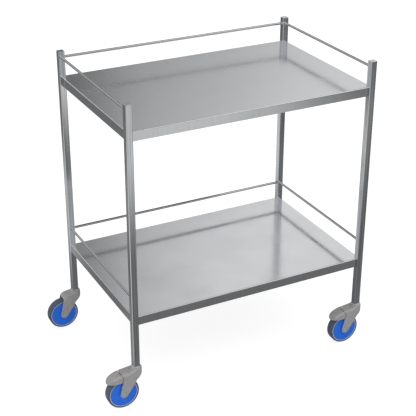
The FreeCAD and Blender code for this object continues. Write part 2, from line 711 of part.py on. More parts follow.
def pedal_plan(half, reach):
    """Plan of the pedal's rounded tip; its straight sides run outside the shell."""
    start = -TRAIL - WHEEL_RADIUS / 3
    blend = start - (reach + start) / 3
    tip = vec(-reach, 0, 0)
    half_tip = half - PEDAL_TIP_TAPER / 2
    wide = half + PEDAL_PLAN_MARGIN
    edges = []
    for side in (-1, 1):
        curve = Part.BezierCurve()
        curve.setPoles([vec(start, side * wide, 0), vec(blend, side * wide, 0),
                        vec(-reach, side * half_tip, 0), tip])
        edges.append(curve.toShape())
        edges.append(line(vec(start, side * wide, 0), vec(0, side * wide, 0)))
    edges.append(line(vec(0, -wide, 0), vec(0, wide, 0)))
    wire = Part.Wire(Part.__sortEdges__(edges))
    return Part.Face(wire).extrude(vec(0, 0, CASTOR_HEIGHT))


def pedal_shell(inset):
    """The pedal's rounded shield as a solid, smaller all round by an inset and open below."""
    half = HALF_FORK - inset
    seam = side_point(PEDAL_SEAM_X, hood_height(PEDAL_SEAM_X))
    centre, radius = falling_circle(seam, HOOD_SLOPE, side_point(-PEDAL_REACH, PEDAL_SKIRT_Z))
    radius -= inset
    floor_z = PEDAL_SKIRT_Z - inset
    leave = arc_point(centre, radius, HOOD_SLOPE)
    front = side_point(PIVOT_X, leave.z + (PIVOT_X - leave.x) * math.tan(HOOD_SLOPE))
    floor_lean = math.acos((floor_z - centre.z) / radius)
    back = arc_point(centre, radius, floor_lean)
    corner = side_point(PIVOT_X, floor_z)
    edges = [line(front, leave), lean_arc(centre, radius, HOOD_SLOPE, floor_lean),
             line(back, corner), line(corner, front)]
    prism = round_top(side_prism(edges, -half, half), half, floor_z + TINY)
    return prism.common(pedal_plan(half, PEDAL_REACH - inset))


def pedal_front_cut():
    """What is cut from the pedal's front so that it clears the fork at rest and when pressed."""
    slack = vec(-PEDAL_GAP, 0, 0)
    joint = leg_back_point(PIVOT_Z)
    seam = side_point(PEDAL_SEAM_X, hood_height(PEDAL_SEAM_X))
    above = joint + (seam - joint) * 2 + slack
    low = press(leg_back_point(PIVOT_Z - WHEEL_RADIUS / 2) + slack, -PEDAL_TRAVEL)
    joint = joint + slack
    points = [(joint.x, joint.z), (above.x, above.z), (0, above.z), (0, low.z), (low.x, low.z)]
    return side_polygon(points, -HALF_FORK, HALF_FORK)


def pedal_arm(sign):
    """One of the pedal's two arms, from a rib sunk in the shell's roof to the hub on the pivot."""
    edge_x = PEDAL_SEAM_X - PEDAL_GAP
    root_x = edge_x - PEDAL_ARM_ROOT
    roof = hood_height(edge_x)
    low, high = sorted((sign * PEDAL_ARM_INSIDE, sign * (PEDAL_ARM_INSIDE + PEDAL_ARM_THICKNESS)))
    rib = side_polygon([(edge_x, roof), (root_x, roof), (root_x, PIVOT_Z), (edge_x, PIVOT_Z)], low, high)
    bar = side_polygon([(PIVOT_X, PIVOT_Z + PEDAL_HUB_RADIUS),
                        (edge_x, roof - HOOD_WALL - PEDAL_ARM_CLEARANCE),
                        (edge_x - PEDAL_WALL, PIVOT_Z), (PIVOT_X, PIVOT_Z - PEDAL_ARM_LOW)], low, high)
    pivot = side_point(PIVOT_X, PIVOT_Z)
    hub = rod(PEDAL_HUB_RADIUS, pivot + vec(0, low, 0), pivot + vec(0, high, 0))
    return rib.common(pedal_shell(PEDAL_RIB_SINK)).fuse(bar).fuse(hub)


def brake_pedal():
    """The pedal: a shielding shell, two arms with pivot hubs and the cam bar between them."""
    pedal = pedal_shell(0).cut(pedal_shell(PEDAL_WALL)).cut(pedal_front_cut())
    pedal = pedal.fuse(pedal_arm(-1)).fuse(pedal_arm(1))
    cam = side_point(PIVOT_X - CAM_ARM, shoe_top() + SEAT_GAP + CAM_RADIUS)
    reach = vec(0, PEDAL_ARM_INSIDE + PEDAL_ARM_THICKNESS / 2, 0)
    pedal = pedal.fuse(rod(CAM_RADIUS, cam - reach, cam + reach))
    pivot = side_point(PIVOT_X, PIVOT_Z)
    across = vec(0, HALF_FORK, 0)
    pedal = pedal.cut(rod(PEDAL_PIN_RADIUS + RUNNING_FIT, pivot - across, pivot + across))
    return pedal.removeSplitter()


def pedal_pin():
    """The pin through the fork's cheeks that carries the pedal."""
    pivot = side_point(PIVOT_X, PIVOT_Z)
    blind = HALF_FORK - LEG_THICKNESS / 2 - SEAT_GAP
    return rod(PEDAL_PIN_RADIUS, pivot - vec(0, blind, 0), pivot + vec(0, HALF_FORK - BEARING_EDGE, 0))


def build_frame():
    """Writes the welded frame's nodes."""
    for name_y, y in SIDES_Y.items():
        for name_x, x in SIDES_X.items():
            corner = name_y + "_" + name_x
            place = {"x": FRAME_SHIFT + x * POST_X, "y": y * POST_Y}
            save("post_" + corner, moved(post(), **place))
            save("post_cap_" + corner, moved(post_cap(), **place))
    for level, top in (("upper", UPPER_SHELF_HEIGHT), ("lower", LOWER_SHELF_HEIGHT)):
        save(level + "_shelf", moved(shelf(top), x=FRAME_SHIFT))
        save(level + "_stiffener", moved(stiffener(top), x=FRAME_SHIFT))
        for side in ("back", "left", "right"):
            save(level + "_rail_" + side, moved(rail(top, side), x=FRAME_SHIFT))


def build_castor(corner, x, y, braked):
    """Writes the nodes of the castor under one post."""
    pieces = {
        "castor_insert": [castor_insert()], "kingpin": [kingpin()], "swivel_bearing": [swivel_bearing()],
        "fork": [fork(braked)], "axle": axle(), "wheel_bearings": wheel_bearings(),
        "wheel_centre": [wheel_centre()], "wheel_discs": wheel_discs(), "tyre": [tyre()],
    }
    if braked:
        pieces.update({"brake_pedal": [brake_pedal()], "pedal_pin": [pedal_pin()],
                       "brake_shoe": [brake_shoe()]})
    for name, solids in pieces.items():
        save(name + "_" + corner, *[moved(s, x, y) for s in solids])


def build():
    """Writes every node."""
    os.makedirs("parts", exist_ok=True)
    build_frame()
    for name_y, y in SIDES_Y.items():
        for name_x, x in SIDES_X.items():
            build_castor(name_y + "_" + name_x, FRAME_SHIFT + x * POST_X, y * POST_Y, name_y == "front")


build()
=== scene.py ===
import logging
import math
from dataclasses import dataclass
from enum import Enum
from typing import Any, Sequence

import bmesh
import bpy
from mathutils import Matrix, Vector


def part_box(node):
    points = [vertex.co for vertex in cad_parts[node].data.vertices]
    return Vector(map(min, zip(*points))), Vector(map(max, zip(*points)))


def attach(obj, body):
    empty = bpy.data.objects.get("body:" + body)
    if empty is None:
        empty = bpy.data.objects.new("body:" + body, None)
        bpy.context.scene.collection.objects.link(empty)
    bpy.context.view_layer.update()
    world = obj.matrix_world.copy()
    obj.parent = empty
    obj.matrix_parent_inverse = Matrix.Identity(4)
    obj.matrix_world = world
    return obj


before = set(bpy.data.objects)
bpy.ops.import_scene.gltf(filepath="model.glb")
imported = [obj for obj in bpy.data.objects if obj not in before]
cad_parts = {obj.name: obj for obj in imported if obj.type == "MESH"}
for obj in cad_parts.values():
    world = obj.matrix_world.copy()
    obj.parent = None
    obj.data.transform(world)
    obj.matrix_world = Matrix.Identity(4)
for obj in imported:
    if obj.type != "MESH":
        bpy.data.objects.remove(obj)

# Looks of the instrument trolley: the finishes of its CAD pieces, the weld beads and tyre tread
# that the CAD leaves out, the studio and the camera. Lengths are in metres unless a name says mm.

LOG = logging.getLogger("trolley")
MM = 0.001
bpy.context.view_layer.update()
CORNERS = ("front_left", "front_right", "back_left", "back_right")
BRAKED = ("front_left", "front_right")
LEVELS = ("upper", "lower")
WHITE = (1.0, 1.0, 1.0, 1.0)
# Nearly all of a noise pattern lies in this part of its range from 0 to 1
NOISE_SPAN = {"From Min": 0.3, "From Max": 0.7}


class Grain(Enum):
    """The way the grinding lines of a steel piece run."""

    ALONG_X = 0
    ALONG_Y = 1
    ALONG_Z = 2
    FOLDED_SHEET = 3


# Colours and shader nodes

def linear(hex_colour: str) -> tuple[float, float, float, float]:
    """Turns an sRGB hex colour into Blender's linear colour.

    Args:
        hex_colour: Six hex digits, with or without a hash.

    Returns:
        Red, green, blue and alpha.
    """
    digits = hex_colour.lstrip("#")
    channels = [int(digits[i:i + 2], 16) / 255 for i in (0, 2, 4)]
    red, green, blue = [c / 12.92 if c <= 0.04045 else ((c + 0.055) / 1.055) ** 2.4 for c in channels]
    return red, green, blue, 1.0


def add(tree: bpy.types.NodeTree, kind: str, inputs: dict[Any, Any] | None = None,
        **settings: Any) -> bpy.types.Node:
    """Adds a shader node with its settings, values and incoming links.

    Args:
        tree: The node tree that gets the node.
        kind: The node's type without its ShaderNode prefix.
        inputs: Socket name or number to a value, to the output socket that feeds it, or to the
            node whose first output feeds it.
        **settings: The node's own settings.

    Returns:
        The new node.
    """
    node = tree.nodes.new("ShaderNode" + kind)
    for name, value in settings.items():
        setattr(node, name, value)
    for name, value in (inputs or {}).items():
        source = value.outputs[0] if isinstance(value, bpy.types.Node) else value
        if isinstance(source, bpy.types.NodeSocket):
            tree.links.new(source, node.inputs[name])
        else:
            node.inputs[name].default_value = source
    return node


def blank_material(name: str) -> tuple[bpy.types.Material, bpy.types.NodeTree]:
    """Makes a material with no nodes in it.

    Args:
        name: The material's name.

    Returns:
        The material and its node tree.
    """
    material = bpy.data.materials.new(name)
    material.use_nodes = True
    material.node_tree.nodes.clear()
    return material, material.node_tree


# Finishes

@dataclass(frozen=True)
class GroundStainless:
    """Stainless steel 1.4301, ground and finished with fine abrasive.

    The belt leaves fine parallel lines, which blur reflections across them more than along
    them, and handling leaves a faint cloudiness in the gloss. The lines are drawn coarser than
    the belt's tenth of a millimetre, or the picture couldn't show them.
    """

    name: str
    dark: str
    light: str
    grain: Grain
    roughness: float
    line_width_mm: float = 0.6
    line_length_mm: float = 90.0
    line_depth_mm: float = 0.004
    line_low: float = 0.25
    line_high: float = 0.75
    cloud_mm: float = 70.0
    cloud_share: float = 0.06
    anisotropy: float = 0.0
    side_lip_facing: float = 0.7
    flat_share: float = 0.45

    def grain_place(self, tree: bpy.types.NodeTree) -> bpy.types.Node:
        """Adds the piece's own coordinates, stretched along the grinding lines.

        A sheet is ground before it is folded. Its lines run from front to back over the top,
        down the front and back lips, and along the side lips.

        Args:
            tree: The material's node tree.

        Returns:
            The node that gives the stretched place.
        """
        across, along = 1 / (self.line_width_mm * MM), 1 / (self.line_length_mm * MM)
        own = add(tree, "TexCoord").outputs
        if self.grain is Grain.FOLDED_SHEET:
            facing = add(tree, "SeparateXYZ", {0: own["Normal"]}).outputs["X"]
            sideways = add(tree, "Math", {0: facing}, operation="ABSOLUTE")
            on_side = add(tree, "Math", {0: sideways, 1: self.side_lip_facing}, operation="GREATER_THAN")
            down = add(tree, "MapRange", {"Value": on_side, "To Min": along, "To Max": across})
            scale: Any = add(tree, "CombineXYZ", {"X": across, "Y": along, "Z": down})
        else:
            scale = [across] * 3
            scale[self.grain.value] = along
        return add(tree, "VectorMath", {0: own["Object"], 1: scale}, operation="MULTIPLY")

    def line_tone(self, tree: bpy.types.NodeTree, lines: bpy.types.Node) -> bpy.types.Node:
        """Adds how light the steel is along its lines, which show less on a sheet that lies flat.

        Args:
            tree: The material's node tree.
            lines: The node with the lines' pattern.

        Returns:
            The node that gives the tone, from 0 to 1.
        """
        swing = add(tree, "MapRange", {"Value": lines, "From Min": self.line_low,
                                       "From Max": self.line_high, "To Min": -0.5, "To Max": 0.5})
        share: Any = 1.0
        if self.grain is Grain.FOLDED_SHEET:
            facing = add(tree, "SeparateXYZ", {0: add(tree, "TexCoord").outputs["Normal"]}).outputs["Z"]
            level = add(tree, "Math", {0: facing}, operation="ABSOLUTE")
            share = add(tree, "MapRange", {"Value": level, "To Min": 1.0, "To Max": self.flat_share})
        return add(tree, "Math", {0: swing, 1: share, 2: 0.5}, operation="MULTIPLY_ADD")

    def make(self) -> bpy.types.Material:
        """Builds the material.

        Returns:
            The new material.
        """
        material, tree = blank_material(self.name)
        own = add(tree, "TexCoord").outputs["Object"]
        lines = add(tree, "TexNoise", {"Vector": self.grain_place(tree), "Scale": 1.0, "Detail": 3.0,
                                       "Roughness": 0.6})
        clouds = add(tree, "TexNoise", {"Vector": own, "Scale": 1 / (self.cloud_mm * MM), "Detail": 4.0})
        line_part = add(tree, "MapRange", {"Value": lines, **NOISE_SPAN, "To Min": -self.cloud_share / 2,
                                           "To Max": self.cloud_share / 2})
        cloud_part = add(tree, "MapRange", {"Value": clouds, **NOISE_SPAN,
                                            "To Min": self.roughness - self.cloud_share,
                                            "To Max": self.roughness + self.cloud_share})
        rough = add(tree, "Math", {0: line_part, 1: cloud_part}, operation="ADD")
        colour = add(tree, "Mix", {0: self.line_tone(tree, lines), 6: linear(self.dark),
                                   7: linear(self.light)}, data_type="RGBA").outputs[2]
        bump = add(tree, "Bump", {"Height": lines, "Strength": 1.0, "Distance": self.line_depth_mm * MM})
        shader = add(tree, "BsdfPrincipled", {"Base Color": colour, "Metallic": 1.0, "Roughness": rough,
                                              "Normal": bump, "Anisotropic": self.anisotropy})
        add(tree, "OutputMaterial", {"Surface": shader})
        return material


@dataclass(frozen=True)
class MouldedPlastic:
    """Polyamide or polypropylene, injection moulded in a tool with a spark-eroded surface.

    The tool gives a fine even grain that softens the highlights, and the flow of the melt
    leaves the colour very slightly uneven. The grain is drawn coarser than the tool's
    twentieth of a millimetre, or the picture couldn't show it.
    """

    name: str
    dark: str
    light: str
    roughness: float
    rough_swing: float = 0.05
    grain_mm: float = 0.35
    grain_depth_mm: float = 0.012
    flow_mm: float = 9.0
    ior: float = 1.5
    coat: float = 0.0
    coat_roughness: float = 0.12

    def make(self) -> bpy.types.Material:
        """Builds the material.

        Returns:
            The new material.
        """
        material, tree = blank_material(self.name)
        own = add(tree, "TexCoord").outputs["Object"]
        grain = add(tree, "TexNoise", {"Vector": own, "Scale": 1 / (self.grain_mm * MM), "Detail": 2.0})
        flow = add(tree, "TexNoise", {"Vector": own, "Scale": 1 / (self.flow_mm * MM), "Detail": 3.0})
        tone = add(tree, "MapRange", {"Value": flow, **NOISE_SPAN})
        colour = add(tree, "Mix", {0: tone, 6: linear(self.dark), 7: linear(self.light)},
                     data_type="RGBA").outputs[2]
        rough = add(tree, "MapRange", {"Value": grain, **NOISE_SPAN,
                                       "To Min": self.roughness - self.rough_swing,
                                       "To Max": self.roughness + self.rough_swing})
        bump = add(tree, "Bump", {"Height": grain, "Strength": 1.0, "Distance": self.grain_depth_mm * MM})
        shader = add(tree, "BsdfPrincipled", {"Base Color": colour, "Roughness": rough, "IOR": self.ior,
                                              "Normal": bump, "Coat Weight": self.coat,
                                              "Coat Roughness": self.coat_roughness})
        add(tree, "OutputMaterial", {"Surface": shader})
        return material


@dataclass(frozen=True)
class PowderCoat:
    """Steel with a baked powder coat: an even colour under a faint orange-peel skin."""

    name: str
    colour: str
    roughness: float = 0.42
    rough_swing: float = 0.04
    peel_mm: float = 1.5
    peel_depth_mm: float = 0.02
    ior: float = 1.5

    def make(self) -> bpy.types.Material:
        """Builds the material.

        Returns:
            The new material.
        """
        material, tree = blank_material(self.name)
        own = add(tree, "TexCoord").outputs["Object"]
        peel = add(tree, "TexNoise", {"Vector": own, "Scale": 1 / (self.peel_mm * MM), "Detail": 1.0})
        rough = add(tree, "MapRange", {"Value": peel, **NOISE_SPAN,
                                       "To Min": self.roughness - self.rough_swing,
                                       "To Max": self.roughness + self.rough_swing})
        bump = add(tree, "Bump", {"Height": peel, "Strength": 1.0, "Distance": self.peel_depth_mm * MM})
        shader = add(tree, "BsdfPrincipled", {"Base Color": linear(self.colour), "Roughness": rough,
                                              "IOR": self.ior, "Normal": bump})
        add(tree, "OutputMaterial", {"Surface": shader})
        return material


@dataclass(frozen=True)
class BareMetal:
    """Turned and plated steel, or a brushed weld: a soft gloss that is unevenly bright."""

    name: str
    dark: str
    light: str
    roughness: float
    rough_swing: float = 0.06
    spangle_mm: float = 2.5

    def make(self) -> bpy.types.Material:
        """Builds the material.

        Returns:
            The new material.
        """
        material, tree = blank_material(self.name)
        own = add(tree, "TexCoord").outputs["Object"]
        spangle = add(tree, "TexNoise", {"Vector": own, "Scale": 1 / (self.spangle_mm * MM), "Detail": 3.0})
        tone = add(tree, "MapRange", {"Value": spangle, **NOISE_SPAN})
        colour = add(tree, "Mix", {0: tone, 6: linear(self.dark), 7: linear(self.light)},
                     data_type="RGBA").outputs[2]
        rough = add(tree, "MapRange", {"Value": spangle, **NOISE_SPAN,
                                       "To Min": self.roughness - self.rough_swing,
                                       "To Max": self.roughness + self.rough_swing})
        shader = add(tree, "BsdfPrincipled", {"Base Color": colour, "Metallic": 1.0, "Roughness": rough})
        add(tree, "OutputMaterial", {"Surface": shader})
        return material


@dataclass(frozen=True)
class TreadRubber:
    """Grey thermoplastic rubber, moulded: a dull skin with fine lines across the tread.

    The tread is a lighter slate than the flanks, which are drawn darker where the surface faces sideways.
    """

    name: str
    axle: tuple[float, float, float]
    dark: str = "#465163"
    light: str = "#5c6a80"
    flank: str = "#31353f"
    roughness: float = 0.62
    ior: float = 1.52
    tyre_radius_mm: float = 50.0
    line_pitch_mm: float = 2.1
    line_depth_mm: float = 0.25
    # How strongly the tread's lines are painted into the colour: painted shade in the grooves, painted light
    # on the ridges
    line_tone: float = 0.35
    shoulder_mm: float = 1.8
    shoulder_fade_mm: float = 0.8
    speck_mm: float = 1.2
    speck_low: float = 0.1
    speck_high: float = 0.9
    flank_from: float = 0.55
    flank_to: float = 0.85

    def tread_height(self, tree: bpy.types.NodeTree) -> bpy.types.Node:
        """Adds the tread's lines, as a wave round the axle that fades out at the flanks.

        Args:
            tree: The material's node tree.

        Returns:
            The node that gives the wave, from -1 to 1.
        """
        own = add(tree, "TexCoord").outputs["Object"]
        away = add(tree, "VectorMath", {0: own, 1: self.axle}, operation="SUBTRACT")
        split = add(tree, "SeparateXYZ", {0: away}).outputs
        turn = add(tree, "Math", {0: split["Z"], 1: split["X"]}, operation="ARCTAN2")
        line_count = round(2 * math.pi * self.tyre_radius_mm / self.line_pitch_mm)
        lines = add(tree, "Math", {0: turn, 1: line_count}, operation="MULTIPLY")
        wave = add(tree, "Math", {0: lines}, operation="SINE")
        flat = add(tree, "VectorMath", {0: away, 1: (1.0, 0.0, 1.0)}, operation="MULTIPLY")
        radius = add(tree, "VectorMath", {0: flat}, operation="LENGTH").outputs["Value"]
        shoulder = (self.tyre_radius_mm - self.shoulder_mm) * MM
        on_tread = add(tree, "MapRange", {"Value": radius, "From Min": shoulder,
                                          "From Max": shoulder + self.shoulder_fade_mm * MM})
        return add(tree, "Math", {0: wave, 1: on_tread}, operation="MULTIPLY")

    def make(self) -> bpy.types.Material:
        """Builds the material.

        Returns:
            The new material.
        """
        material, tree = blank_material(self.name)
        own = add(tree, "TexCoord").outputs
        height = self.tread_height(tree)
        speck = add(tree, "TexNoise", {"Vector": own["Object"], "Scale": 1 / (self.speck_mm * MM),
                                       "Detail": 3.0})
        # Painted shade and light: the tread's lines darken the colour in the grooves and lighten it on the
        # ridges, on top of the random specks
        speck_and_groove_shade = add(tree, "Math", {0: height, 1: self.line_tone, 2: speck}, operation="MULTIPLY_ADD")
        tone = add(tree, "MapRange", {"Value": speck_and_groove_shade, "From Min": self.speck_low,
                                      "From Max": self.speck_high})
        tread = add(tree, "Mix", {0: tone, 6: linear(self.dark), 7: linear(self.light)},
                    data_type="RGBA").outputs[2]
        facing = add(tree, "SeparateXYZ", {0: own["Normal"]}).outputs["Y"]
        sideways = add(tree, "Math", {0: facing}, operation="ABSOLUTE")
        on_flank = add(tree, "MapRange", {"Value": sideways, "From Min": self.flank_from,
                                          "From Max": self.flank_to})
        colour = add(tree, "Mix", {0: on_flank, 6: tread, 7: linear(self.flank)},
                     data_type="RGBA").outputs[2]
        bump = add(tree, "Bump", {"Height": height, "Strength": 1.0, "Distance": self.line_depth_mm * MM})
        shader = add(tree, "BsdfPrincipled", {"Base Color": colour, "Roughness": self.roughness,
                                              "IOR": self.ior, "Normal": bump})
        add(tree, "OutputMaterial", {"Surface": shader})
        return material


# Dressing CAD pieces and adding new ones

def dress(nodes: Sequence[str], material: bpy.types.Material) -> None:
    """Gives CAD nodes a material and reports them.

    Args:
        nodes: Names of the CAD nodes.
        material: The material they get.
    """
    for name in nodes:
        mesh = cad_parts[name].data
        mesh.materials.clear()
        mesh.materials.append(material)
        LOG.info("%s dressed in %s", name, material.name)


def new_piece(name: str, mesh: bmesh.types.BMesh, material: bpy.types.Material, body: str) -> None:
    """Makes an object from a mesh and lets it ride on a CAD body.

    Args:
        name: The piece's name.
        mesh: Its shape in the row frame, freed here.
        material: Its material.
        body: The CAD body it moves with.
    """
    data = bpy.data.meshes.new(name)
    mesh.to_mesh(data)
    mesh.free()
    data.shade_smooth()
    data.materials.append(material)
    piece = bpy.data.objects.new(name, data)
    bpy.context.scene.collection.objects.link(piece)
    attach(piece, body)
    LOG.info("%s added on %s", name, body)


def add_ring(mesh: bmesh.types.BMesh, centre: Vector, axis: Vector, radius: float, section: float,
             turns: int = 28, sides: int = 8) -> None:
    """Adds a plain ring to a mesh.

    Args:
        mesh: The mesh it is added to.
        centre: Middle of the ring.
        axis: Direction of the ring's axis.
        radius: From the centre to the middle of the ring's section.
        section: Radius of the section.
        turns: Faces round the ring.
        sides: Faces round the section.
    """
    turned = axis.to_track_quat("Z", "Y").to_matrix().to_4x4()
    rows = []
    for i in range(turns):
        angle = 2 * math.pi * i / turns
        row = []
        for j in range(sides):
            lean = 2 * math.pi * j / sides
            reach = radius + section * math.cos(lean)
            local = Vector((reach * math.cos(angle), reach * math.sin(angle), section * math.sin(lean)))
            row.append(mesh.verts.new(centre + turned @ local))
        rows.append(row)
    for i in range(turns):
        for j in range(sides):
            near, far = rows[i], rows[(i + 1) % turns]
            mesh.faces.new((near[j], far[j], far[(j + 1) % sides], near[(j + 1) % sides]))


# The trolley

@dataclass
class WeldedFrame:
    """Posts, rails and shelves, with the small weld beads round the ends of the rails."""

    bead_section: float = 0.9 * MM
    rail_radius: float = 4.0 * MM
    # Long lines up the tube, which draw its reflections into bright and dark stripes
    posts: GroundStainless = GroundStainless(
        name="stainless tube, ground along its length", dark="#9a9da0", light="#e8eaec",
        grain=Grain.ALONG_Z, roughness=0.14, line_width_mm=3.0, line_length_mm=260.0, anisotropy=0.3)
    # A satin that mirrors the posts and rails softly, with its lines plain to see on the lips
    shelves: GroundStainless = GroundStainless(
        name="stainless sheet, satin ground from front to back", dark="#c6c8ca", light="#d6d7d9",
        grain=Grain.FOLDED_SHEET, roughness=0.15, line_width_mm=1.6, line_length_mm=70.0,
        cloud_mm=110.0, cloud_share=0.03)
    # A clear gloss, bright along the middle of the rod and dark along its sides
    rails: GroundStainless = GroundStainless(
        name="stainless rod, polished", dark="#a0a2a4", light="#b6b8ba", grain=Grain.ALONG_X,
        roughness=0.05, line_depth_mm=0.001, cloud_share=0.02)
    # The same rod, with its lines turned along the sides
    side_rails: GroundStainless = GroundStainless(
        name="stainless rod, polished, side rails", dark="#a0a2a4", light="#b6b8ba",
        grain=Grain.ALONG_Y, roughness=0.05, line_depth_mm=0.001, cloud_share=0.02)
    # A duller, slightly uneven line where a rail meets its post
    beads: BareMetal = BareMetal(
        name="stainless weld bead, brushed clean", dark="#9c9ea0", light="#c4c6c8", roughness=0.35,
        spangle_mm=1.2)

    def dress(self) -> None:
        """Gives the posts, caps, shelves, stiffeners and rails their finishes."""
        posts = [kind + corner for kind in ("post_", "post_cap_") for corner in CORNERS]
        shelves = [level + kind for level in LEVELS for kind in ("_shelf", "_stiffener")]
        dress(posts, self.posts.make())
        dress(shelves, self.shelves.make())
        dress([level + "_rail_back" for level in LEVELS], self.rails.make())
        dress([level + "_rail_" + side for level in LEVELS for side in ("left", "right")],
              self.side_rails.make())

    def weld_rails(self) -> None:
        """Adds a bead round each end of each rail, where it meets its post."""
        mesh = bmesh.new()
        for level in LEVELS:
            for side in ("back", "left", "right"):
                axis = Vector((1, 0, 0)) if side == "back" else Vector((0, 1, 0))
                low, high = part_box(level + "_rail_" + side)
                middle = (low + high) / 2
                reach = axis * ((high - low).dot(axis) / 2)
                for end in (middle - reach, middle + reach):
                    add_ring(mesh, end, axis, self.rail_radius, self.bead_section)
        new_piece("rail_weld_beads", mesh, self.beads.make(), "frame")

    def build(self) -> None:
        """Dresses the frame and adds what the CAD leaves out."""
        self.dress()
        self.weld_rails()


@dataclass
class CastorSet:
    """The four castors with their finishes."""

    # A warm mid grey with soft, broad highlights on the hood and the pedal
    fork: MouldedPlastic = MouldedPlastic(
        name="grey polyamide, moulded with a fine grain", dark="#959394", light="#a3a1a1", roughness=0.45)
    # A thin lighter line under the post's foot
    insert: MouldedPlastic = MouldedPlastic(
        name="light grey polyamide, moulded plug", dark="#b9b8b4", light="#c6c5c1", roughness=0.4)
    # Near black, seen only as a dark shape above the wheel
    shoe: MouldedPlastic = MouldedPlastic(
        name="black polyamide, moulded brake shoe", dark="#2a2a2a", light="#343434", roughness=0.5)
    # A thin pale ring between the tyre and the disc
    centre: MouldedPlastic = MouldedPlastic(
        name="beige polypropylene, moulded wheel centre", dark="#c3b8a6", light="#d2c8b7", roughness=0.4)
    # A deep even blue under a faint gloss, the one strong colour of the trolley
    disc: MouldedPlastic = MouldedPlastic(
        name="blue polypropylene, glossy thread guard", dark="#0066de", light="#0070ee", roughness=0.42,
        grain_depth_mm=0.004, coat=0.1)
    # A round head that stands out faintly from the leg round it
    axle: PowderCoat = PowderCoat(name="steel axle head, grey powder coat", colour="#a9a8a6")
    # A cool soft gloss, nearly all of it hidden inside the castor
    zinc: BareMetal = BareMetal(
        name="steel, turned and zinc plated", dark="#a5a8ab", light="#c3c6c9", roughness=0.3)

    def build(self) -> None:
        """Dresses every piece of the four castors."""
        dress(["fork_" + c for c in CORNERS] + ["brake_pedal_" + c for c in BRAKED], self.fork.make())
        dress(["castor_insert_" + c for c in CORNERS], self.insert.make())
        dress(["brake_shoe_" + c for c in BRAKED], self.shoe.make())
        dress(["wheel_centre_" + c for c in CORNERS], self.centre.make())
        dress(["wheel_discs_" + c for c in CORNERS], self.disc.make())
        dress(["axle_" + c for c in CORNERS], self.axle.make())
        metal = [kind + c for kind in ("kingpin_", "swivel_bearing_", "wheel_bearings_") for c in CORNERS]
        dress(metal + ["pedal_pin_" + c for c in BRAKED], self.zinc.make())
        for corner in CORNERS:
            low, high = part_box("tyre_" + corner)
            rubber = TreadRubber(name="grey rubber, moulded tyre " + corner.replace("_", " "),
                                 axle=tuple((low + high) / 2))
            dress(["tyre_" + corner], rubber.make())


# The studio and the camera

@dataclass(frozen=True)
class LightPool:
    """A round bright place on the floor as gloss sees it, full within its core and gone at its edge."""

    centre: tuple[float, float, float]
    core: float
    edge: float
    level: float


@dataclass(frozen=True)
class SoftLamp:
    """A square soft lamp, with its size in metres and its power in watts."""

    name: str
    place: tuple[float, float, float]
    size: float
    power: float

    def hang(self, aim: Vector) -> None:
        """Adds the lamp to the scene.

        Args:
            aim: The point it faces.
        """
        data = bpy.data.lights.new(self.name, "AREA")
        data.size = self.size
        data.energy = self.power
        lamp = bpy.data.objects.new(self.name, data)
        lamp.location = self.place
        lamp.rotation_euler = (aim - Vector(self.place)).to_track_quat("-Z", "Y").to_euler()
        bpy.context.scene.collection.objects.link(lamp)
        LOG.info("%s added", self.name)


